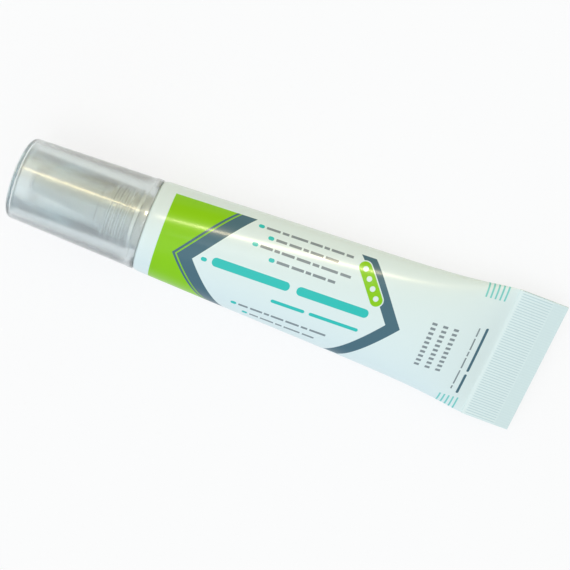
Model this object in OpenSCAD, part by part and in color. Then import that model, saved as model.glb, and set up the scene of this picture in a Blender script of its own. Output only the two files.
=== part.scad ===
// Filled squeeze tube of sealant, lying on its back with its cap towards -X.
// Units are millimetres. Z = 0 is the surface that the tube lies on, and the
// origin is at the middle of the tube's length and width on that surface.

/* [Sleeve] */
// Outer diameter of the sleeve where it meets the head
tube_d = 34.4; // [32:0.2:38]
// Length of the sleeve from the head to the end seal
sleeve_l = 134.5; // [110:0.5:160]
// Thickness of the sleeve's film
film_t = 0.5; // [0.3:0.05:0.8]
// How far the sleeve's edge rolls inwards over the head
edge_in = 0.6; // [0.2:0.1:1]
// Length over which the sleeve rolls inwards
edge_run = 3; // [2:0.5:8]

/* [Fill] */
// Half thickness that the filling gives the sleeve just ahead of the end seal
belly = 8.2; // [4:0.1:10]
// Length over which the sleeve swells from the end seal to that thickness
belly_run = 12.7; // [8:0.1:20]
// Length over which the film bends out of the end seal
fold_run = 1.2; // [0.4:0.1:2]

/* [End seal] */
// Height of the flat end seal, along the tube
seal_h = 18.2; // [10:0.2:24]
// Length of the ribbed band that the welding jaws leave
rib_band = 11.8; // [6:0.2:13]
// Distance of the ribbed band from the start of the end seal
rib_start = 0.8; // [0.4:0.1:2]
// Distance from rib to rib
rib_pitch = 1.06; // [0.8:0.02:1.4]
// Height of each rib above the welded films
rib_rise = 0.18; // [0.05:0.01:0.25]

/* [Head] */
// Straight edge of the shoulder that the sleeve is welded to
shoulder_edge = 0.6; // [0.3:0.1:1.2]
// Rise of the shoulder's cone
shoulder_h = 3.4; // [2:0.1:6]
// Wall of the shoulder
shoulder_t = 1.5; // [1:0.1:2]
// Ledge around the neck, that the nozzle comes down on
ledge_w = 3.2; // [1:0.1:5]
// Outer diameter of the threaded neck
neck_d = 14.4; // [12:0.2:15]
// Height of the neck above the ledge
neck_h = 12; // [8:0.5:16]
// Bore of the neck
neck_bore = 10.4; // [6:0.2:10.8]
// Thickness of the foil welded over the neck
foil_t = 0.15; // [0.1:0.05:0.3]

/* [Nozzle] */
// Outer diameter of the nozzle's threaded skirt
skirt_d = 18.8; // [18:0.2:20]
// Outer diameter of the collar at the foot of the skirt
collar_d = 21.6; // [20.6:0.2:24]
// Height of the collar
collar_h = 1.4; // [0.8:0.1:3]
// Wall over the end of the neck
web_t = 1.3; // [0.8:0.1:2.5]
// Bevel around the top of the skirt
skirt_bevel = 1; // [0.4:0.1:2]
// Length of the spout beyond the skirt
spout_l = 28.2; // [15:0.1:40]
// Outer diameter of the spout at its foot
spout_foot_d = 12.8; // [11:0.2:15]
// Outer diameter of the spout at its tip
spout_tip_d = 7.8; // [6.5:0.1:10]
// Wall of the spout
spout_t = 1.4; // [0.8:0.1:1.6]
// Diameter of the hole at the tip
tip_bore = 3.2; // [1.5:0.1:3.4]
// Length of the narrow bore at the tip
tip_bore_l = 1.2; // [0.8:0.1:3]
// Bevel around the tip
tip_bevel = 0.4; // [0.2:0.1:0.8]

/* [Cap] */
// How far the cap's rim stays inside the sleeve's outer radius, which is also
// how deep the filled sleeve sags flat against the surface beside the rim
rim_set_in = 0.1; // [0.1:0.05:0.4]
// Outer diameter of the cap at its closed end
cap_end_d = 30.4; // [27:0.2:33]
// Wall of the cap's outer shell
cap_wall = 1.2; // [0.8:0.1:1.8]
// Wall of the cap's closed end
cap_end_t = 1.4; // [1:0.1:2.5]
// Radius of the corner around the closed end
cap_corner_r = 2; // [1.8:0.1:3]
// Height of the thicker rim at the mouth
rim_h = 2.4; // [1:0.1:4]
// How far the rim stands out from the shell
rim_out = 0.2; // [0.1:0.05:0.4]
// Wall of the inner sleeve at its free end
core_t = 1.9; // [1.2:0.1:2.2]
// How much wider the inner sleeve grows outside, up to the closed end
core_draft = 0.3; // [0.1:0.1:0.8]
// Depth of the wide, threaded part of the inner sleeve
thread_l = 13; // [8:0.5:16]
// Each narrowing of the inner sleeve's hollow, past the thread and at its end
core_step = 0.2; // [0.1:0.1:0.6]

/* [Clearances] */
// Radial play between two threaded pieces
thread_gap = 0.1; // [0.05:0.01:0.1]
// Gap between faces of different pieces that come together along the tube
end_gap = 0.3; // [0.2:0.05:0.5]
// Gap between the spout's tip and the inside of the closed end
tip_gap = 2.2; // [0.4:0.1:4]
// Gap between the cap's mouth and the shoulder inside it
mouth_gap = 0.4; // [0.2:0.1:1]

/* [Hidden] */
$fn = 96;

// Segments around each ring of the sleeve, and in each rounded corner
ring_points = 64;
corner_points = 8;

tube_r = tube_d / 2;
film_perimeter = PI * (tube_d - film_t);
seal_t = 2 * film_t;

// Heights above the sleeve's edge, measured along the tube towards the cap
ledge_z = shoulder_edge + shoulder_h;
neck_top = ledge_z + neck_h;
skirt_foot = ledge_z + end_gap;
bore_top = neck_top + foil_t + end_gap;
skirt_top = bore_top + web_t;
tip_z = skirt_top + spout_l;
cap_inside = tip_z + tip_gap;
cap_top = cap_inside + cap_end_t;
core_foot = skirt_foot + collar_h + end_gap;

// Radii of the cap's mouth, and of the shoulder inside it
mouth_r = tube_r - rim_set_in;
shell_mouth_r = mouth_r - rim_out;
shoulder_r = shell_mouth_r - cap_wall - mouth_gap;
cap_end_r = cap_end_d / 2;

// Radii of the threaded joints
skirt_bore_r = neck_d / 2 + thread_gap;
core_bore_r = skirt_d / 2 + thread_gap;
core_r = core_bore_r + core_t;

// Half perimeter-keeping width of the flat seal, solved below
seal_half_w = half_width(seal_t / 2);

// Perimeter of an ellipse with half axes a and b
function around(a, b) = PI * (3 * (a + b) - sqrt((3 * a + b) * (a + 3 * b)));

// Half width of the sleeve where its half thickness is b. The film can't
// stretch, so the perimeter along the middle of its wall stays the same.
function half_width(b, low = 0, high = film_perimeter / 4 + 1, steps = 24) =
    let (mid = (low + high) / 2)
    steps == 0 ? mid + film_t / 2
    : around(mid, b - film_t / 2) > film_perimeter
        ? half_width(b, low, mid, steps - 1)
        : half_width(b, mid, high, steps - 1);

// Swelling of the sleeve at a distance from the end seal, which begins gently
// because the film leaves the seal in a bend
function swell(from_seal) =
    let (bent = from_seal - fold_run * (1 - exp(-from_seal / fold_run)))
    belly * (1 - exp(-bent / belly_run));

// Half thickness of the sleeve: the swelling, and a straight taper besides
taper = (tube_r - seal_t / 2 - swell(sleeve_l)) / sleeve_l;
function half_thick(from_seal) = seal_t / 2 + swell(from_seal) + taper * from_seal;

// How far the sleeve has rolled inwards at a distance from the head
function rolled(from_head) =
    from_head >= edge_run ? 0
    : edge_in * (1 - sqrt(1 - pow(1 - from_head / edge_run, 2)));

// One closed ring of the sleeve, at a distance from the head
function ring(from_head) =
    let (
        b = half_thick(sleeve_l - from_head),
        a = half_width(b),
        less = rolled(from_head)
    )
    [for (i = [0 : ring_points - 1])
        let (turn = 360 * i / ring_points)
        [from_head, (a - less) * cos(turn), (b - less) * sin(turn)]];

// Distances from the head at which the sleeve has a ring: close together on
// its edge and near the seal, where its shape changes fastest
edge_steps = 4;
long_steps = 10;
flare_steps = 11;
flare_l = 3 * belly_run;
stations = concat(
    [for (i = [0 : edge_steps - 1]) edge_run * (1 - cos(90 * i / edge_steps))],
    [for (i = [0 : long_steps - 1])
        edge_run + (sleeve_l - flare_l - edge_run) * i / long_steps],
    [for (i = [0 : flare_steps])
        sleeve_l - flare_l * pow(1 - i / flare_steps, 1.7)]
);

// A filled tube rests on the straight line under its sleeve, so its axis
// slopes down towards the seal by the sleeve's taper
slope = atan(taper);
lift = tube_r * cos(slope) - rim_set_in;
low_x = -(cap_top - cap_corner_r) * cos(slope)
    - (cap_end_r - cap_corner_r) * sin(slope) - cap_corner_r;
high_x = (sleeve_l + seal_h) * cos(slope) + seal_t / 2 * sin(slope);

// Lays down what was built with the tube's axis along X and the head at X = 0
module lay_down() {
    translate([-(low_x + high_x) / 2, 0, lift]) rotate([0, slope, 0]) children();
}

// Stands a shape that is turned about Z on the head, pointing to the cap
module on_head() {
    lay_down() rotate([0, -90, 0]) children();
}

// Pushes an outline drawn across the tube along it, from x over a length
module along_tube(x, length) {
    translate([x, 0, 0]) rotate([90, 0, 90]) linear_extrude(length) children();
}

// A solid skinned over rings that all have the same number of points
module skin(rings) {
    n = len(rings[0]);
    last = len(rings) - 1;
    polyhedron(
        points = [for (r = rings) each r],
        faces = concat(
            [[for (i = [0 : n - 1]) i]],
            [[for (i = [n - 1 : -1 : 0]) last * n + i]],
            [for (k = [0 : last - 1], i = [0 : n - 1])
                let (j = (i + 1) % n)
                [k * n + j, k * n + i, (k + 1) * n + i]],
            [for (k = [0 : last - 1], i = [0 : n - 1])
                let (j = (i + 1) % n)
                [k * n + j, (k + 1) * n + i, (k + 1) * n + j]]
        ),
        convexity = 4
    );
}

// Outline of the ribbed welded films, across the tube
module ribbed_outline() {
    face = seal_t / 2;
    ribs = floor(2 * (seal_half_w - film_t) / rib_pitch);
    start = -ribs * rib_pitch / 2;
    ridges = [for (i = [0 : ribs - 1]) each [
        [start + i * rib_pitch, face],
        [start + (i + 0.5) * rib_pitch, face + rib_rise]
    ]];
    upper = concat(
        [[-seal_half_w, face]], ridges, [[-start, face], [seal_half_w, face]]
    );
    lower = [for (i = [len(upper) - 1 : -1 : 0]) [upper[i][0], -upper[i][1]]];
    polygon(concat(upper, lower));
}

// The filled sleeve, with its flat welded and ribbed end. What would lie
// under the surface is the flat strip that its weight presses into it.
module tube_body() {
    overlap = film_t;
    color("white")
        intersection() {
            lay_down() {
                skin([for (x = stations) ring(x)]);
                along_tube(sleeve_l - overlap, seal_h + overlap)
                    square([2 * seal_half_w, seal_t], center = true);
                along_tube(sleeve_l + rib_start, rib_band) ribbed_outline();
            }
            translate([low_x - high_x, -tube_d, 0])
                cube([2 * (high_x - low_x), 2 * tube_d, 2 * tube_d]);
        }
}

// The moulded shoulder and neck, welded to the sleeve's edge
module tube_head() {
    ledge_r = neck_d / 2 + ledge_w;
    bore_r = neck_bore / 2;
    color("whitesmoke")
        on_head()
            rotate_extrude() polygon([
                [shoulder_r, 0],
                [shoulder_r, shoulder_edge],
                [ledge_r, ledge_z],
                [neck_d / 2, ledge_z],
                [neck_d / 2, neck_top],
                [bore_r, neck_top],
                [bore_r, ledge_z - shoulder_t],
                [ledge_r, ledge_z - shoulder_t],
                [shoulder_r - shoulder_t, 0]
            ]);
}

// The foil disc that closes the neck until the nozzle is first used
module foil_seal() {
    color("silver")
        on_head()
            translate([0, 0, neck_top]) cylinder(d = neck_d - 2 * thread_gap, h = foil_t);
}

// The spout with the threaded skirt that screws over the neck
module nozzle() {
    foot_r = spout_foot_d / 2;
    tip_r = spout_tip_d / 2;
    color("gainsboro")
        on_head()
            rotate_extrude() polygon([
                [skirt_bore_r, skirt_foot],
                [collar_d / 2, skirt_foot],
                [collar_d / 2, skirt_foot + collar_h],
                [skirt_d / 2, skirt_foot + collar_h],
                [skirt_d / 2, skirt_top - skirt_bevel],
                [foot_r, skirt_top],
                [tip_r, tip_z - tip_bevel],
                [tip_r - tip_bevel, tip_z],
                [tip_bore / 2, tip_z],
                [tip_bore / 2, tip_z - tip_bore_l],
                [tip_r - spout_t, tip_z - 2 * tip_bore_l],
                [foot_r - spout_t, bore_top],
                [skirt_bore_r, bore_top]
            ]);
}

// Points along a quarter circle, from the angle start to the angle end
function arc(centre, r, start, end) =
    [for (i = [0 : corner_points])
        let (turn = start + (end - start) * i / corner_points)
        [centre[0] + r * cos(turn), centre[1] + r * sin(turn)]];

// The clear cap: a tapered shell, a closed end and a threaded inner sleeve
module cap() {
    corner_x = cap_end_r - cap_corner_r;
    inner_corner_r = cap_corner_r - cap_wall;
    color("lightsteelblue", 0.5)
        on_head()
            rotate_extrude() polygon(concat(
                [
                    [mouth_r, end_gap],
                    [mouth_r, end_gap + rim_h],
                    [shell_mouth_r, end_gap + rim_h + rim_out]
                ],
                arc([corner_x, cap_top - cap_corner_r], cap_corner_r, 0, 90),
                [
                    [0, cap_top],
                    [0, cap_inside],
                    [core_bore_r - 2 * core_step, cap_inside],
                    [core_bore_r - core_step, core_foot + thread_l + core_step],
                    [core_bore_r, core_foot + thread_l],
                    [core_bore_r, core_foot],
                    [core_r, core_foot],
                    [core_r + core_draft, cap_inside]
                ],
                arc([corner_x, cap_inside - inner_corner_r], inner_corner_r, 90, 0),
                [[shell_mouth_r - cap_wall, end_gap]]
            ));
}

tube_body();
tube_head();
foil_seal();
nozzle();
cap();
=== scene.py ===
import math

import bpy
import numpy as np
from mathutils import Matrix, Vector


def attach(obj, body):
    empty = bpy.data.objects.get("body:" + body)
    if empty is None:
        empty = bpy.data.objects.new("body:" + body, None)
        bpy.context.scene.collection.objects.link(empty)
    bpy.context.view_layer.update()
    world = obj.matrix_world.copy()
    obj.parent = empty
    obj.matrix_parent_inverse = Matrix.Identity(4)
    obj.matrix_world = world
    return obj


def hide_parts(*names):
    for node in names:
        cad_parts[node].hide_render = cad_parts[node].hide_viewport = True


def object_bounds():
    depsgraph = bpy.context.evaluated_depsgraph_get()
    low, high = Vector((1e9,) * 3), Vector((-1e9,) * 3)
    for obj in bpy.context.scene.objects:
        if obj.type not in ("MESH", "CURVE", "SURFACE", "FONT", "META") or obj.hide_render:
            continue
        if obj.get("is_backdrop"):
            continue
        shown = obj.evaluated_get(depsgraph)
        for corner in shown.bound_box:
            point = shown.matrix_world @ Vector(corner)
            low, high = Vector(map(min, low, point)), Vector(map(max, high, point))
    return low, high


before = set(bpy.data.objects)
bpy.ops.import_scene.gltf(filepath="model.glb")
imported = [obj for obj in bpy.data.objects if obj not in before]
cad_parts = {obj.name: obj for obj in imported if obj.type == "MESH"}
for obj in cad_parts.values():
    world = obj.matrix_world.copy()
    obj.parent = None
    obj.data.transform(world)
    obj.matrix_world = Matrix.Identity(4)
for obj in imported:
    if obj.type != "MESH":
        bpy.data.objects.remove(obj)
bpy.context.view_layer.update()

# Sleeve. The white printed film that holds the sealant: a tube that is round
# at the head and pressed flat and welded at its far end, where the jaws leave
# fine ribs. It is lofted ring by ring along its own axis, head at X = 0.
MM = 0.001
TUBE_D = 34.4
SLEEVE_L = 134.5
FILM_T = 0.5
SEAL_T = 2 * FILM_T
SEAL_H = 18.2
BELLY = 8.2
BELLY_RUN = 12.7
FOLD_RUN = 1.2
EDGE_IN = 0.6
EDGE_RUN = 3.0
RIM_SET_IN = 0.1
AROUND = math.pi * (TUBE_D - FILM_T)


def swell(from_seal):
    """How far the filling holds the film open, this far from the weld."""
    bent = from_seal - FOLD_RUN * (1 - math.exp(-from_seal / FOLD_RUN))
    return BELLY * (1 - math.exp(-bent / BELLY_RUN))


TAPER = (TUBE_D / 2 - SEAL_T / 2 - swell(SLEEVE_L)) / SLEEVE_L


def half_thick(from_head):
    from_seal = SLEEVE_L - from_head
    return SEAL_T / 2 + swell(from_seal) + TAPER * from_seal


def ellipse_around(a, b):
    return math.pi * (3 * (a + b) - math.sqrt((3 * a + b) * (a + 3 * b)))


def half_width(thick):
    """The half width that keeps the film's length around the same everywhere."""
    low, high = 0.0, AROUND / 4 + 1
    for _ in range(30):
        middle = (low + high) / 2
        if ellipse_around(middle, thick - FILM_T / 2) > AROUND:
            high = middle
        else:
            low = middle
    return low + FILM_T / 2


def rolled(from_head):
    """How far the edge is rolled in over the shoulder."""
    if from_head >= EDGE_RUN:
        return 0.0
    return EDGE_IN * (1 - math.sqrt(1 - (1 - from_head / EDGE_RUN) ** 2))


def ring_size(from_head):
    thick = half_thick(from_head)
    less = rolled(from_head)
    return half_width(thick) - less, thick - less


# The tube rests on its tapering underside, so what is made along X is turned
# down by the taper and lifted on to the surface. The cap and the seal give the
# ends, between which the tube is centred.
CAP_TOP = 49.55
CAP_END_R = 15.2
CAP_CORNER_R = 2.0
SLOPE = math.atan(TAPER)
LIFT = TUBE_D / 2 * math.cos(SLOPE) - RIM_SET_IN
LOW_X = -(
    (CAP_TOP - CAP_CORNER_R) * math.cos(SLOPE)
    + (CAP_END_R - CAP_CORNER_R) * math.sin(SLOPE)
    + CAP_CORNER_R
)
HIGH_X = (SLEEVE_L + SEAL_H) * math.cos(SLOPE) + SEAL_T / 2 * math.sin(SLOPE)
LAID = Matrix.Translation(
    (-(LOW_X + HIGH_X) / 2 * MM, 0, LIFT * MM)
) @ Matrix.Rotation(SLOPE, 4, "Y")


def deselect():
    if bpy.context.object and bpy.context.object.mode == "EDIT":
        bpy.ops.object.mode_set(mode="OBJECT")
    bpy.ops.object.select_all(action="DESELECT")


def take(piece):
    """Selects one piece alone, to be worked on."""
    deselect()
    piece.select_set(True)
    bpy.context.view_layer.objects.active = piece


def pick(piece, wanted, kind="VERT"):
    """Selects what of the piece being edited is in a wanted place."""
    bpy.ops.mesh.select_mode(type=kind)
    bpy.ops.object.mode_set(mode="OBJECT")
    for group in (piece.data.vertices, piece.data.edges, piece.data.polygons):
        group.foreach_set("select", [False] * len(group))
    for part in piece.data.edges if kind == "EDGE" else piece.data.vertices:
        part.select = wanted(part)
    bpy.ops.object.mode_set(mode="EDIT")


def loft(name, stations, points):
    """A skin over rings across X.

    A station is (x, half width, half height), in millimetres.
    """
    deselect()
    x, wide, high = stations[0]
    bpy.ops.mesh.primitive_circle_add(
        vertices=points,
        radius=MM,
        rotation=(0, math.pi / 2, 0),
        location=(x * MM, 0, 0),
    )
    piece = bpy.context.object
    piece.name = piece.data.name = name
    bpy.ops.object.transform_apply(location=True, rotation=True, scale=True)
    bpy.ops.object.mode_set(mode="EDIT")
    bpy.ops.mesh.select_all(action="SELECT")
    bpy.ops.transform.resize(value=(1, wide, high), center_override=(x * MM, 0, 0))
    for next_x, next_wide, next_high in stations[1:]:
        bpy.ops.mesh.extrude_edges_move(
            TRANSFORM_OT_translate={"value": ((next_x - x) * MM, 0, 0)}
        )
        bpy.ops.transform.resize(
            value=(1, next_wide / wide, next_high / high),
            center_override=(next_x * MM, 0, 0),
        )
        x, wide, high = next_x, next_wide, next_high
    bpy.ops.object.mode_set(mode="OBJECT")
    return piece


def lay_down(piece):
    take(piece)
    piece.matrix_world = LAID
    bpy.ops.object.transform_apply(location=True, rotation=True, scale=True)


# Rings stand close together at the rolled edge and towards the weld, and both
# ends are closed: the one over the shoulder and the one inside the seal
RING_POINTS = 192
EDGE_RINGS = 10
LONG_RINGS = 40
FLARE_RINGS = 44
FLARE_L = 3 * BELLY_RUN
FLARE_CROWDING = 1.7
END_LAP = 1.2
LONG_L = SLEEVE_L - FLARE_L - EDGE_RUN
rings = [
    EDGE_RUN * (1 - math.cos(math.pi / 2 * i / EDGE_RINGS)) for i in range(EDGE_RINGS)
]
rings += [EDGE_RUN + LONG_L * i / LONG_RINGS for i in range(LONG_RINGS)]
rings += [
    SLEEVE_L - FLARE_L * (1 - i / FLARE_RINGS) ** FLARE_CROWDING
    for i in range(FLARE_RINGS + 1)
]
sleeve = loft("printed_sleeve", [(x, *ring_size(x)) for x in rings], RING_POINTS)
bpy.ops.object.mode_set(mode="EDIT")
pick(sleeve, lambda v: abs(v.co.x) < 0.001 * MM)
bpy.ops.mesh.edge_face_add()
bpy.ops.mesh.inset(thickness=END_LAP * MM)
pick(sleeve, lambda v: v.co.x > (SLEEVE_L - 0.001) * MM)
bpy.ops.mesh.edge_face_add()
bpy.ops.mesh.select_all(action="SELECT")
bpy.ops.mesh.normals_make_consistent(inside=False)
bpy.ops.object.mode_set(mode="OBJECT")

# Flat seal: the two films welded together, as a block divided into strips
# along the tube. Every second line between strips is raised into a rib, high
# in the band that the jaws pressed and faint beyond it. NEAR is what may part
# two points that count as in one place.
NEAR = 0.01
SEAL_HALF_W = half_width(SEAL_T / 2)
RIB_PITCH = 1.06
RIB_START = 0.8
RIB_BAND = 11.8
RIB_RAMP = 0.5
RIB_RISE = 0.18
FAINT_RISE = 0.06
FAINT_STOP = SEAL_H - 1.2
SEAL_LIP = SEAL_H - 0.5
ribs = int(2 * (SEAL_HALF_W - FILM_T) / RIB_PITCH)
ribs_half_w = ribs * RIB_PITCH / 2
deselect()
bpy.ops.mesh.primitive_cube_add(
    size=1,
    location=((SLEEVE_L + (SEAL_H - FILM_T) / 2) * MM, 0, 0),
    scale=((SEAL_H + FILM_T) * MM, 2 * ribs_half_w * MM, SEAL_T * MM),
)
seal = bpy.context.object
bpy.ops.object.transform_apply(location=True, rotation=True, scale=True)
bpy.ops.object.mode_set(mode="EDIT")


def runs_across(edge):
    a, b = (seal.data.vertices[i].co for i in edge.vertices)
    return abs(a.y - b.y) > MM


pick(seal, runs_across, "EDGE")
bpy.ops.mesh.subdivide(number_cuts=2 * ribs - 1)
rib_ends = (0, RIB_RAMP, RIB_BAND - RIB_RAMP, RIB_BAND, RIB_BAND + RIB_RAMP)
for cut in [RIB_START + end for end in rib_ends] + [FAINT_STOP, SEAL_LIP]:
    bpy.ops.mesh.select_all(action="SELECT")
    bpy.ops.mesh.bisect(plane_co=((SLEEVE_L + cut) * MM, 0, 0), plane_no=(1, 0, 0))


def is_crest(vertex, first, last):
    column = round((vertex.co.y / MM + ribs_half_w) / (RIB_PITCH / 2))
    from_fold = vertex.co.x / MM - SLEEVE_L
    return column % 2 == 1 and first - NEAR < from_fold < last + NEAR


for side in (1, -1):
    for first, last, rise in (
        (RIB_START + RIB_RAMP, RIB_START + RIB_BAND - RIB_RAMP, RIB_RISE),
        (RIB_START + RIB_BAND, FAINT_STOP, FAINT_RISE),
    ):
        pick(
            seal,
            lambda v: v.co.z * side > FILM_T / 2 * MM and is_crest(v, first, last),
        )
        bpy.ops.transform.translate(value=(0, 0, side * rise * MM))
pick(seal, lambda v: abs(abs(v.co.y) / MM - ribs_half_w) < NEAR)
bpy.ops.transform.resize(
    value=(1, SEAL_HALF_W / ribs_half_w, 1), center_override=(0, 0, 0)
)
bpy.ops.mesh.select_all(action="SELECT")
bpy.ops.mesh.normals_make_consistent(inside=False)
take(sleeve)
seal.select_set(True)
bpy.ops.object.join()

# The film's own map: along the tube, and around it from the middle of the
# printed front, so that the print follows the film
MAP_L = 160.0
TURN_STEPS = 720
mesh = sleeve.data
spots = np.zeros(len(mesh.vertices) * 3)
mesh.vertices.foreach_get("co", spots)
spots = spots.reshape(-1, 3) / MM
around = np.zeros(len(spots))
half_turn = np.linspace(0, math.pi, TURN_STEPS + 1)
for x in np.unique(np.round(spots[:, 0], 3)):
    on_ring = np.abs(spots[:, 0] - x) < 0.002
    wide, high = ring_size(min(max(x, 0.0), SLEEVE_L))
    y, z = spots[on_ring, 1], spots[on_ring, 2]
    if x > SLEEVE_L - FILM_T + NEAR:
        flat = np.abs(y) / SEAL_HALF_W * AROUND / 4
        arc = np.where(z >= 0, flat, AROUND / 2 - flat)
    else:
        steps = np.hypot(
            np.diff(wide * np.sin(half_turn)), np.diff(high * np.cos(half_turn))
        )
        length = np.concatenate([[0], np.cumsum(steps)])
        length *= AROUND / 2 / length[-1]
        arc = np.interp(np.abs(np.arctan2(y / wide, z / high)), half_turn, length)
    around[on_ring] = arc * np.where(y >= 0, 1, -1)
film_map = mesh.uv_layers.new(name="film")
for face in mesh.polygons:
    side = 1 if face.center.y >= 0 else -1
    for loop in face.loop_indices:
        vertex = mesh.loops[loop].vertex_index
        arc = around[vertex]
        if abs(arc) > AROUND / 4:
            arc = side * abs(arc)
        film_map.data[loop].uv = (spots[vertex, 0] / MAP_L, 0.5 + arc / AROUND)

# The weight of the filling presses the underside flat where it lies
lay_down(sleeve)
bpy.ops.object.mode_set(mode="EDIT")
pick(sleeve, lambda v: v.co.z < 0)
bpy.ops.transform.resize(value=(1, 1, 0), center_override=(0, 0, 0))
take(sleeve)
bpy.ops.object.shade_smooth_by_angle(angle=math.radians(50))


class Wire:
    """A socket of a shader, with the arithmetic that masks are written in."""

    def __init__(self, socket):
        self.socket = socket

    def beside(self, name):
        """Another output of the same node."""
        return Wire(self.socket.node.outputs[name])

    def maths(self, operation, *values):
        node = self.socket.id_data.nodes.new("ShaderNodeMath")
        node.operation = operation
        for entry, value in zip(node.inputs, values):
            plug(entry, value)
        return Wire(node.outputs[0])

    def __add__(self, other):
        return self.maths("ADD", self, other)

    __radd__ = __add__

    def __sub__(self, other):
        return self.maths("SUBTRACT", self, other)

    def __rsub__(self, other):
        return self.maths("SUBTRACT", other, self)

    def __mul__(self, other):
        return self.maths("MULTIPLY", self, other)

    __rmul__ = __mul__

    def __truediv__(self, other):
        return self.maths("DIVIDE", self, other)

    def __abs__(self):
        return self.maths("ABSOLUTE", self)

    def root(self):
        return self.maths("SQRT", self)

    def fract(self):
        return self.maths("FRACT", self)

    def floor(self):
        return self.maths("FLOOR", self)

    def least(self, other):
        return self.maths("MINIMUM", self, other)

    def most(self, other):
        return self.maths("MAXIMUM", self, other)

    def within(self, blur):
        """1 where this distance is below zero and 0 above, over a soft edge."""
        return (0.5 - self / blur).most(0).least(1)


def plug(entry, value):
    if isinstance(value, Wire):
        entry.id_data.links.new(value.socket, entry)
    else:
        entry.default_value = value


class Finish:
    """The shader of a material or a world, and the one way to add its nodes."""

    def __init__(self, owner):
        self.owner = owner
        owner.use_nodes = True
        self.tree = owner.node_tree
        self.tree.nodes.clear()

    def add(self, kind, settings=None, inputs=None, output=0):
        node = self.tree.nodes.new("ShaderNode" + kind)
        for name, value in (settings or {}).items():
            if name == "stops":
                ramp = node.color_ramp
                while len(ramp.elements) < len(value):
                    ramp.elements.new(1)
                for stop, (position, shade) in zip(ramp.elements, value):
                    stop.position = position
                    stop.color = (shade, shade, shade, 1)
            elif name == "interpolation":
                node.color_ramp.interpolation = value
            else:
                setattr(node, name, value)
        for name, value in (inputs or {}).items():
            plug(node.inputs[name], value)
        return Wire(node.outputs[output]) if node.outputs else None

    def blend(self, under, over, mask):
        return self.add("Mix", {"data_type": "RGBA"}, {0: mask, 6: under, 7: over}, 2)

    def put_on(self, piece):
        piece.data.materials.clear()
        piece.data.materials.append(self.owner)


def ink(red, green, blue):
    """A colour written as on a screen, 0 to 255, as the shader's linear one."""
    return (
        *(
            (c / 255 / 12.92) if c <= 10 else ((c / 255 + 0.055) / 1.055) ** 2.4
            for c in (red, green, blue)
        ),
        1,
    )


# Print. All of its sizes are millimetres along the film from its edge at the
# head, and across it from the middle of the front.
FILM_WHITE = ink(224, 239, 238)
# Grey that paints shade into the rib valleys and greys the weld's plain end
SHADE_AND_WELD_GREY = ink(184, 208, 211)
GREEN = ink(140, 206, 2)
SLATE = ink(74, 110, 124)
TURQUOISE = ink(46, 196, 188)
PRINT_GREY = ink(92, 104, 112)
BLUR = 0.12
film = Finish(bpy.data.materials.new("printed_film"))
spot = film.add("UVMap", {"uv_map": "film"})
on_film = film.add("SeparateXYZ", {}, {0: spot})
along = on_film * MAP_L
across = (on_film.beside("Y") - 0.5) * AROUND
off_middle = abs(across)


def between(value, low, high, blur=BLUR):
    return (abs(value - (low + high) / 2) - (high - low) / 2).within(blur)


def bar(u, v, middle_u, middle_v, length, height, corner):
    """A rounded bar of print, by its middle and size."""
    du = (abs(u - middle_u) - (length / 2 - corner)).most(0)
    dv = (abs(v - middle_v) - (height / 2 - corner)).most(0)
    return ((du * du + dv * dv).root() - corner).within(BLUR)


def over_all(masks):
    """Several masks as one."""
    whole = masks[0]
    for mask in masks[1:]:
        whole = whole.most(mask)
    return whole


# Fields of colour on the front: a green end panel and slate angle bands that
# frame a white middle. The edges of the bands lean by LEAN.
LEAN = 0.78
FIELD_START = 6.0
FIELD_HALF_W = 21.7
THIN_BAND = (12.0, 13.1)
LEFT_BAND = (13.7, 19.4)
RIGHT_BAND = (92.4, 98.0)
field = between(across, -FIELD_HALF_W, FIELD_HALF_W)
from_left = along - off_middle * LEAN
from_right = along + off_middle * LEAN
green = field * (FIELD_START - along).within(BLUR)
green = green * (from_left - LEFT_BAND[1]).within(BLUR)
slate = field * (
    between(from_left, *THIN_BAND)
    + between(from_left, *LEFT_BAND)
    + between(from_right, *RIGHT_BAND)
).least(1)

# Rows of print are plain bars with breaks as between words. One ramp gives
# the breaks, and each row reads it from another place on.
BREAKS = (0, 0.9, 5.4, 6.2, 8.1, 8.9, 13.6, 14.5, 19.6, 20.5, 22.9, 23.7)
BREAKS_L = 30
ROW_H = 1.0


def words(u, shift):
    ramp = {
        "interpolation": "CONSTANT",
        "stops": [(b / BREAKS_L, i % 2) for i, b in enumerate(BREAKS)],
    }
    return film.add("ValToRGB", ramp, {"Fac": ((u + shift) / BREAKS_L).fract()})


def row(low_x, high_x, middle_v, shift):
    line = between(across, middle_v - ROW_H / 2, middle_v + ROW_H / 2)
    return line * between(along, low_x, high_x) * words(along, shift)


# Turquoise bars, as (middle along, middle across, length, height, corner), and
# grey rows, as (start, end, middle across, shift), each with a bullet before it
BULLET_BEFORE = 1.9
BULLET = (2.2, 1.5, 0.75)
BARS = (
    (40.8, 1.6, 29.0, 3.4, 1.6),
    (71.6, 1.6, 27.2, 3.4, 1.6),
    (57.1, -5.6, 12.8, 1.4, 0.7),
    (74.6, -5.6, 18.8, 1.4, 0.7),
    (23.4, 1.2, *BULLET),
)
ROWS = (
    (40.4, 73.0, 19.4, 4.2),
    (45.0, 68.4, 16.0, 11.0),
    (40.4, 74.4, 12.2, 20.5),
    (47.8, 69.8, 8.7, 7.5),
    (40.4, 74.7, -12.6, 16.0),
    (45.4, 70.5, -16.3, 25.0),
)
bullets = tuple(
    (low_x - BULLET_BEFORE, middle_v, *BULLET) for low_x, _, middle_v, _ in ROWS
)
turquoise = over_all([bar(along, across, *sizes) for sizes in BARS + bullets])
grey = over_all([row(*sizes) for sizes in ROWS])

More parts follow.
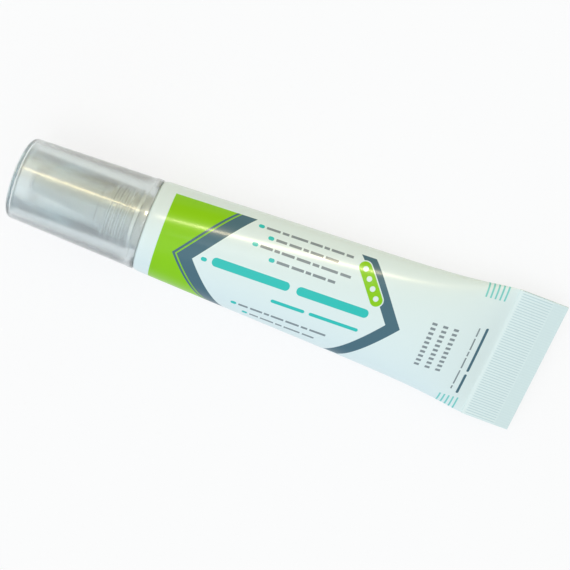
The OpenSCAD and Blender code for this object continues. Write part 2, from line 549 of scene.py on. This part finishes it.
# Green badge with four dots, set along the edge of the right-hand band
BADGE_ALONG = 82.0
BADGE_ACROSS = 12.4
BADGE_COS, BADGE_SIN = 0.62, 0.785
BADGE = (17.0, 4.6, 2.2)
BADGE_EDGE = (17.8, 5.4, 2.6)
DOT_PITCH = 3.8
badge_x, badge_y = along - BADGE_ALONG, across - BADGE_ACROSS
badge_u = badge_x * BADGE_COS - badge_y * BADGE_SIN
badge_v = badge_x * BADGE_SIN + badge_y * BADGE_COS
badge = bar(badge_u, badge_v, 0, 0, *BADGE)
badge_edge = bar(badge_u, badge_v, 0, 0, *BADGE_EDGE)
dot_u = ((badge_u / DOT_PITCH).fract() - 0.5) * DOT_PITCH
dots = bar(dot_u, badge_v, 0, 0, 2.0, 2.0, 1.0)
dots = dots * between(badge_u, -2 * DOT_PITCH, 2 * DOT_PITCH)

# Five short stripes around each edge ahead of the seal, dashes of a printed
# code, and a two-part rule across the front
STRIPES_START = 122.4
STRIPE_PITCH = 1.8
STRIPES_END = STRIPES_START + 5 * STRIPE_PITCH
RULE_ALONG = 128.6
stripe = between(((along - STRIPES_START) / STRIPE_PITCH).fract(), 0.05, 0.42, 0.08)
stripes = stripe * between(along, STRIPES_START, STRIPES_END)
stripes = stripes * between(off_middle, 20.8, 33.5)
rule = bar(across, along, 0.2, RULE_ALONG, 18.6, 1.1, 0.5)
rule = rule.most(bar(across, along, -14.6, RULE_ALONG, 8.6, 1.1, 0.5))
fine_line = between(across, -17.5, 9.0) * between(along, 125.3, 125.9)
fine_line = fine_line * words(across, 9.0)

CODE_START = 107.2
CODE_PITCH = 4.2
CODE_LOW = -12.0
DASH_PITCH = 1.9
dash = between(((across - CODE_LOW) / DASH_PITCH).fract(), 0.25, 0.75, 0.08)
code = dash * between(((along - CODE_START) / CODE_PITCH).fract(), 0.22, 0.68, 0.04)
code = code * between(along, CODE_START, CODE_START + 3 * CODE_PITCH)
code = code * between(across, CODE_LOW, CODE_LOW + 10 * DASH_PITCH)

# Back of the film, on which the tube lies: a green end field, a block of
# plain rows and three empty frames
BACK_PITCH = 2.6
BACK_HALF_W = 7 * BACK_PITCH
FRAME_PITCH = 12.0
FRAME_ALONG = 103.0
behind = (across / AROUND).fract() * AROUND - AROUND / 2
back_green = between(along, FIELD_START, 12.0)
back_green = back_green * between(behind, -FIELD_HALF_W, FIELD_HALF_W)
back_row = (behind + BACK_HALF_W) / BACK_PITCH
back_rows = between(back_row.fract(), 0.28, 0.72, 0.06) * between(along, 20.0, 92.0)
back_rows = back_rows * between(behind, -BACK_HALF_W, BACK_HALF_W)
back_rows = back_rows * words(along, back_row.floor() * 7.3)
frame_v = ((behind / FRAME_PITCH + 0.5).fract() - 0.5) * FRAME_PITCH
frames = bar(along, frame_v, FRAME_ALONG, 0, 9.0, 9.0, 1.2)
frames = frames - bar(along, frame_v, FRAME_ALONG, 0, 7.6, 7.6, 0.6)
frames = frames * between(behind, -1.5 * FRAME_PITCH, 1.5 * FRAME_PITCH)

# The valleys between the ribs are painted darker, as painted shade of their relief,
# and the plain end of the weld is painted greyer than the film around it
BAND_LOW = SLEEVE_L + RIB_START
BAND_HIGH = BAND_LOW + RIB_BAND
WELD_BLUR = 0.8
here = film.add("TexCoord", {}, {}, "Object")
sideways = film.add("SeparateXYZ", {}, {0: here}, "Y")
valley = abs(((sideways / (RIB_PITCH * MM) + ribs / 2).fract() - 0.5) * 2)
groove_shade_and_grey_end = valley * valley * between(along, BAND_LOW, BAND_HIGH, WELD_BLUR)
weld_end = between(along, BAND_HIGH, SLEEVE_L + SEAL_H + 1, WELD_BLUR)
groove_shade_and_grey_end = groove_shade_and_grey_end.most(weld_end * (0.3 + valley * 0.12))
paint = film.blend(FILM_WHITE, SHADE_AND_WELD_GREY, groove_shade_and_grey_end)
for shade, mask in (
    (GREEN, green.most(back_green)),
    (SLATE, slate.most(rule).most(frames)),
    (TURQUOISE, turquoise.most(stripes * 0.75)),
    (PRINT_GREY, grey.most(back_rows).most(code).most(fine_line) * 0.8),
    (FILM_WHITE, badge_edge),
    (GREEN, badge),
    (FILM_WHITE, dots),
):
    paint = film.blend(paint, shade, mask)

slow = film.add("TexNoise", {}, {"Vector": here, "Scale": 55.0, "Detail": 2.0})
fine = film.add("TexNoise", {}, {"Vector": here, "Scale": 900.0, "Detail": 1.0})
waves = film.add("Bump", {}, {"Strength": 0.35, "Distance": 0.0006, "Height": slow})
skin = film.add(
    "Bump", {}, {"Strength": 0.1, "Distance": 0.00003, "Height": fine, "Normal": waves}
)
body = film.add(
    "BsdfPrincipled",
    {},
    {
        "Base Color": paint,
        "Roughness": 0.3 + fine * 0.06,
        "Specular IOR Level": 0.14,
        "Coat Weight": 0.24,
        "Coat Roughness": 0.17,
        "Normal": skin,
    },
)
film.add("OutputMaterial", {}, {"Surface": body})
film.put_on(sleeve)
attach(sleeve, "tube")
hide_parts("tube_body")

# Head. The moulded shoulder and neck, of natural polyethylene, welded inside
# the sleeve's edge. The nozzle screws on to the neck's thread, and the cap
# hides both. Its outline runs from the tube's edge towards the cap.
LEDGE_Z = 4.0
LEDGE_R = 10.4
PLATE_T = 1.5
NECK_R = 7.2
NECK_TOP = 16.0
NECK_BORE_R = 5.2
NECK_PITCH = 2.5
NECK_THREAD_LOW = LEDGE_Z + 2.0
NECK_THREAD_HIGH = NECK_TOP - 1.0
SHOULDER_R = 15.3
SHOULDER_H = 0.6
THREAD_DEPTH = 0.5
EDGE_ROUND = 0.12
TURNED_POINTS = 96


def turned(name, outline):
    """A piece turned about the tube's axis, from (radius, height) on the head."""
    return loft(name, [(-height, r, r) for r, height in outline], TURNED_POINTS)


def climb(r, low, high, step=0.25):
    """Close steps up a straight wall that a thread is cut in."""
    count = round((high - low) / step)
    return [(r, low + (high - low) * i / count) for i in range(count + 1)]


def close_ends(piece, closed_outline):
    """Joins the first ring to the last, or fills both, and turns faces outwards."""
    take(piece)
    bpy.ops.object.mode_set(mode="EDIT")
    bpy.ops.mesh.select_all(action="SELECT")
    bpy.ops.mesh.remove_doubles(threshold=0.01 * MM)
    if not closed_outline:
        bpy.ops.mesh.select_all(action="DESELECT")
        bpy.ops.mesh.select_mode(type="EDGE")
        bpy.ops.mesh.select_non_manifold()
        bpy.ops.mesh.edge_face_add()
    bpy.ops.mesh.select_all(action="SELECT")
    bpy.ops.mesh.normals_make_consistent(inside=False)
    bpy.ops.object.mode_set(mode="OBJECT")


def cut_thread(piece, r, low, high, pitch, depth):
    """Moves the close rings of a round wall in and out along a right-hand helix.

    Both sides of a fit get the same depth, so that they run side by side.
    """
    for vertex in piece.data.vertices:
        height = -vertex.co.x / MM
        radius = math.hypot(vertex.co.y, vertex.co.z) / MM
        if abs(radius - r) > 0.02 or not low < height < high:
            continue
        turn = math.atan2(vertex.co.z, vertex.co.y) / (2 * math.pi)
        wave = abs(2 * ((height / pitch - turn) % 1) - 1)
        ridge = min(max((wave - 0.35) / 0.3, 0), 1)
        fade = min(1, (height - low) / pitch, (high - height) / pitch)
        grown = (r + depth * (ridge - 0.5) * fade) / radius
        vertex.co.y *= grown
        vertex.co.z *= grown


def finish_shape(piece):
    """Rounds the hard edges, lays the piece down and smooths its faces."""
    take(piece)
    bpy.ops.object.modifier_add(type="BEVEL")
    edge = piece.modifiers[-1]
    edge.width = EDGE_ROUND * MM
    edge.segments = 2
    edge.limit_method = "ANGLE"
    edge.angle_limit = math.radians(40)
    bpy.ops.object.modifier_apply(modifier=edge.name)
    lay_down(piece)
    bpy.ops.object.shade_smooth_by_angle(angle=math.radians(35))


def polyethylene(name, tones, cloud_scale, roughness, clear):
    """A clouded natural plastic with a fine grain."""
    finish = Finish(bpy.data.materials.new(name))
    here = finish.add("TexCoord", {}, {}, "Object")
    cloud = finish.add(
        "TexNoise", {}, {"Vector": here, "Scale": cloud_scale, "Detail": 3.0}
    )
    grain = finish.add("TexNoise", {}, {"Vector": here, "Scale": 2400.0, "Detail": 1.0})
    skin = finish.add(
        "Bump", {}, {"Strength": 0.2, "Distance": 0.00003, "Height": grain}
    )
    body = finish.add(
        "BsdfPrincipled",
        {},
        {
            "Base Color": finish.blend(*tones, cloud),
            "Roughness": roughness + cloud * 0.1,
            "Normal": skin,
            **clear,
        },
    )
    finish.add("OutputMaterial", {}, {"Surface": body})
    return finish


head = turned(
    "threaded_head",
    [
        (SHOULDER_R, 0),
        (SHOULDER_R, SHOULDER_H),
        (LEDGE_R, LEDGE_Z),
        (NECK_R, LEDGE_Z),
        *climb(NECK_R, NECK_THREAD_LOW, NECK_THREAD_HIGH),
        (NECK_R, NECK_TOP),
        (NECK_BORE_R, NECK_TOP),
        (NECK_BORE_R, LEDGE_Z - PLATE_T),
        (LEDGE_R, LEDGE_Z - PLATE_T),
        (SHOULDER_R - PLATE_T, 0),
        (SHOULDER_R, 0),
    ],
)
close_ends(head, True)
cut_thread(
    head, NECK_R, NECK_THREAD_LOW, NECK_THREAD_HIGH, NECK_PITCH, -THREAD_DEPTH
)
finish_shape(head)

natural = polyethylene(
    "natural_polyethylene", (ink(222, 230, 230), ink(236, 240, 238)), 160.0, 0.38, {}
)
natural.put_on(head)
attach(head, "tube")
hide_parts("tube_head")

# Foil. A disc of aluminium foil welded over the neck, which keeps the sealant
# from curing until the nozzle is first used. Its CAD solid has the right
# shape; the weld prints its crinkles.
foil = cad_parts["foil_seal"]
leaf = Finish(bpy.data.materials.new("sealing_foil"))
here = leaf.add("TexCoord", {}, {}, "Object")
crinkle = leaf.add(
    "TexVoronoi", {"feature": "DISTANCE_TO_EDGE"}, {"Vector": here, "Scale": 900.0}
)
cloud = leaf.add("TexNoise", {}, {"Vector": here, "Scale": 400.0, "Detail": 3.0})
skin = leaf.add(
    "Bump", {}, {"Strength": 0.5, "Distance": 0.0001, "Height": crinkle + cloud}
)
body = leaf.add(
    "BsdfPrincipled",
    {},
    {
        "Base Color": leaf.blend(ink(206, 207, 210), ink(222, 223, 225), cloud),
        "Metallic": 1.0,
        "Roughness": 0.24 + cloud * 0.2,
        "Normal": skin,
    },
)
leaf.add("OutputMaterial", {}, {"Surface": body})
leaf.put_on(foil)

# Nozzle. A hollow tapered spout of natural polyethylene with a wide skirt,
# moulded in one. The skirt is threaded inside for the neck and outside for
# the cap, and shows through the cap.
SKIRT_R = 9.4
SKIRT_BORE_R = 7.3
SKIRT_FOOT = 4.3
COLLAR_R = 10.8
COLLAR_TOP = SKIRT_FOOT + 1.4
BORE_TOP = 16.45
SKIRT_TOP = 17.75
TIP_Z = 45.95
TIP_R = 3.9
TIP_ROUND = 0.4
TIP_BORE_R = 1.6
CAP_PITCH = 2.0
CAP_THREAD_LOW = 6.4
CAP_THREAD_HIGH = 16.6
nozzle = turned(
    "tapered_nozzle",
    [
        (SKIRT_BORE_R, SKIRT_FOOT),
        (COLLAR_R, SKIRT_FOOT),
        (COLLAR_R, COLLAR_TOP),
        (SKIRT_R, COLLAR_TOP),
        *climb(SKIRT_R, CAP_THREAD_LOW, CAP_THREAD_HIGH),
        (SKIRT_R, SKIRT_TOP - 1),
        (6.4, SKIRT_TOP),
        (5.6, 28.0),
        (4.7, 38.0),
        (TIP_R, TIP_Z - TIP_ROUND),
        (TIP_R - TIP_ROUND, TIP_Z),
        (TIP_BORE_R, TIP_Z),
        (TIP_BORE_R, TIP_Z - 1.2),
        (2.5, TIP_Z - 2.4),
        (5.0, BORE_TOP),
        *climb(SKIRT_BORE_R, NECK_THREAD_LOW, BORE_TOP)[::-1],
        (SKIRT_BORE_R, SKIRT_FOOT),
    ],
)
close_ends(nozzle, True)
cut_thread(
    nozzle, SKIRT_R, CAP_THREAD_LOW, CAP_THREAD_HIGH, CAP_PITCH, THREAD_DEPTH
)
cut_thread(
    nozzle, SKIRT_BORE_R, NECK_THREAD_LOW, NECK_THREAD_HIGH, NECK_PITCH, -THREAD_DEPTH
)
finish_shape(nozzle)

spout = polyethylene(
    "spout_polyethylene",
    (ink(236, 247, 250), ink(243, 251, 253)),
    120.0,
    0.32,
    {"Transmission Weight": 0.1, "IOR": 1.5},
)
spout.put_on(nozzle)
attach(nozzle, "spout")
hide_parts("nozzle")

# Cap. A tapered double-walled screw cap of milky clear polypropylene: an outer
# shell in line with the sleeve, a flat closed end, and a threaded inner sleeve
# that grips the nozzle's skirt. It is moulded in one.
MOUTH_R = 17.1
SHELL_MOUTH_R = 16.9
CAP_WALL = 1.2
END_GAP = 0.3
RIM_TOP = END_GAP + 2.4
CAP_INSIDE = 48.15
INNER_CORNER_R = 0.8
CORE_BORE_R = 9.5
CORE_FOOT = 6.0
CORE_R = 11.4
CORE_STEP_Z = 19.0
GATE_DEEP = 0.25


def taper(low, high, steps=12):
    """Rings along a straight tapered wall, which keep its shading even."""
    return [
        tuple(a + (b - a) * i / steps for a, b in zip(low, high))
        for i in range(1, steps)
    ]


def corner(middle_r, middle_z, r, start, end, steps=8):
    """A rounded corner about its middle, from one angle to another."""
    turns = [math.radians(start + (end - start) * i / steps) for i in range(steps + 1)]
    return [(middle_r + r * math.cos(a), middle_z + r * math.sin(a)) for a in turns]


corner_middle_r = CAP_END_R - CAP_CORNER_R
corner_middle_z = CAP_TOP - CAP_CORNER_R
shell_foot = (SHELL_MOUTH_R, RIM_TOP + 0.2)
cap = turned(
    "clear_cap",
    [
        (1.2, CAP_INSIDE),
        (CORE_BORE_R - 0.4, CAP_INSIDE),
        (CORE_BORE_R - 0.2, CORE_STEP_Z + 0.2),
        (CORE_BORE_R, CORE_STEP_Z),
        *climb(CORE_BORE_R, CAP_THREAD_LOW, CAP_THREAD_HIGH)[::-1],
        (CORE_BORE_R, CORE_FOOT),
        (CORE_R, CORE_FOOT),
        (CORE_R + 0.3, CAP_INSIDE),
        *corner(
            corner_middle_r, CAP_INSIDE - INNER_CORNER_R, INNER_CORNER_R, 90, 0, 4
        ),
        (SHELL_MOUTH_R - CAP_WALL, END_GAP),
        (MOUTH_R, END_GAP),
        (MOUTH_R, RIM_TOP),
        shell_foot,
        *taper(shell_foot, (CAP_END_R, corner_middle_z)),
        *corner(corner_middle_r, corner_middle_z, CAP_CORNER_R, 0, 90),
        (2.0, CAP_TOP),
        (1.5, CAP_TOP - GATE_DEEP),
        (0.5, CAP_TOP - GATE_DEEP),
    ],
)
close_ends(cap, False)
cut_thread(
    cap, CORE_BORE_R, CAP_THREAD_LOW, CAP_THREAD_HIGH, CAP_PITCH, THREAD_DEPTH
)
finish_shape(cap)

milky = Finish(bpy.data.materials.new("milky_polypropylene"))
here = milky.add("TexCoord", {}, {}, "Object")
cloud = milky.add("TexNoise", {}, {"Vector": here, "Scale": 60.0, "Detail": 3.0})
flow = milky.add("TexNoise", {}, {"Vector": here, "Scale": 35.0, "Detail": 1.0})
tone = milky.blend(ink(250, 255, 255), ink(254, 255, 255), cloud)
skin = milky.add("Bump", {}, {"Strength": 0.2, "Distance": 0.0003, "Height": flow})
body = milky.add(
    "BsdfPrincipled",
    {},
    {
        "Base Color": tone,
        "Roughness": 0.13 + cloud * 0.05,
        "Transmission Weight": 0.9,
        "IOR": 1.49,
        "Coat Weight": 0.5,
        "Coat Roughness": 0.2,
        "Normal": skin,
    },
)
haze = milky.add(
    "VolumeAbsorption", {}, {"Color": ink(170, 226, 238), "Density": 34.0}
)
milky.add("OutputMaterial", {}, {"Surface": body, "Volume": haze})
milky.put_on(cap)
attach(cap, "screw_cap")
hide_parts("cap")

# Floor. One pale sheet just under the tube, which keeps the tube's shadow. The
# camera, and what mirrors or lets light through, sees it as nearly white near
# the tube and as plain white farther out.
WHITE = (1, 1, 1, 1)
FADE_START = 0.3
FADE_RUN = 1.5
NEAR_WHITE = 0.8
deselect()
bpy.ops.mesh.primitive_plane_add(size=6, location=(0, 0, -0.02 * MM))
floor = bpy.context.object
floor.name = "floor"
sheet = Finish(bpy.data.materials.new("pale_floor"))
rays = sheet.add("LightPath")
seen = rays.beside("Is Camera Ray").most(rays.beside("Is Glossy Ray"))
seen = seen.most(rays.beside("Is Transmission Ray"))
here = sheet.add("TexCoord", {}, {}, "Object")
out = sheet.add("VectorMath", {"operation": "LENGTH"}, {0: here}, "Value")
faded = ((out - FADE_START) / FADE_RUN).most(0).least(1 - NEAR_WHITE)
matt = sheet.add("BsdfDiffuse", {}, {"Color": ink(238, 239, 240)})
white = sheet.add("Emission", {}, {"Color": WHITE, "Strength": 1.0})
shown = sheet.add("MixShader", {}, {0: seen * (faded + NEAR_WHITE), 1: matt, 2: white})
sheet.add("OutputMaterial", {}, {"Surface": shown})
sheet.put_on(floor)
floor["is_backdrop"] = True

# Light. A pale room, cool but warm towards +Y and dimmer to its horizon, a
# wide lamp and a small one overhead, and two narrow warm strips that draw the
# long highlights on the film and the cap.
COOL = (0.73, 0.79, 0.87, 1)
WARM = (1.0, 0.8, 0.4, 1)
STRIP_COLOUR = (1, 0.84, 0.55)
STRIP_OFF = 0.655
STRIP_W = 0.07
world = bpy.context.scene.world or bpy.data.worlds.new("studio")
bpy.context.scene.world = world
room = Finish(world)
towards = room.add("SeparateXYZ", {}, {0: room.add("TexCoord")})
warmth = (towards.beside("Y") * 1.8 - 0.5).most(0).least(1)
by_camera = room.add("LightPath", {}, {}, "Is Camera Ray")
walls = room.blend(room.blend(COOL, WARM, warmth), WHITE, by_camera)
dimmer = towards.beside("Z").most(0) * 0.5 - towards * 0.14 - 0.32
level = (1 - by_camera) * dimmer + 1
air = room.add("Background", {}, {"Color": walls, "Strength": level})
room.add("OutputWorld", {}, {"Surface": air})


def lamp(name, place, size, power, colour):
    """A soft lamp that faces the tube."""
    light = bpy.data.lights.new(name, "AREA")
    light.shape = "RECTANGLE"
    light.size, light.size_y = size
    light.energy = power
    light.color = colour
    lit = bpy.data.objects.new(name, light)
    bpy.context.scene.collection.objects.link(lit)
    lit.location = place
    lit.rotation_euler = (-Vector(place)).to_track_quat("-Z", "Y").to_euler()
    return lit


lamp("wide_lamp", (-0.2, -0.25, 1.1), (0.9, 0.9), 2.3, (0.95, 1, 0.98))
lamp("small_lamp", (0.167, 0.316, 0.873), (0.14, 0.34), 0.6, (1, 1, 1))
for name, middle_x, length, power in (
    ("tube_strip", 0.105, 0.27, 5.2),
    ("cap_strip", -0.27, 0.17, 0.7),
):
    place = (middle_x, STRIP_OFF, STRIP_OFF)
    strip = lamp(name, place, (length, STRIP_W), power, STRIP_COLOUR)
    strip.rotation_euler = (-math.pi / 4, 0, 0)
    strip.visible_diffuse = False

# Camera. It stands where the photograph was taken from, as fitted to the
# outline of the tube.
PHOTO_SIDE = 570
FOCAL_PIXELS = 1100
SENSOR = 36
camera = bpy.data.objects.new("camera", bpy.data.cameras.new("camera"))
bpy.context.scene.collection.objects.link(camera)
camera.data.sensor_width = SENSOR
camera.data.lens = FOCAL_PIXELS / PHOTO_SIDE * SENSOR
look = Vector((-0.01396, -0.37343, -0.92755)).normalized()
up = Vector((-0.3719, 0.8628, -0.3423))
up = (up - look * up.dot(look)).normalized()
turned_to = Matrix((look.cross(up), up, -look)).transposed().to_4x4()
camera.matrix_world = Matrix.Translation((0.00857, 0.1477, 0.3892)) @ turned_to
camera.data.clip_start = 0.01
bpy.context.scene.camera = camera
bpy.context.scene.view_settings.view_transform = "Standard"

low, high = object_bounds()
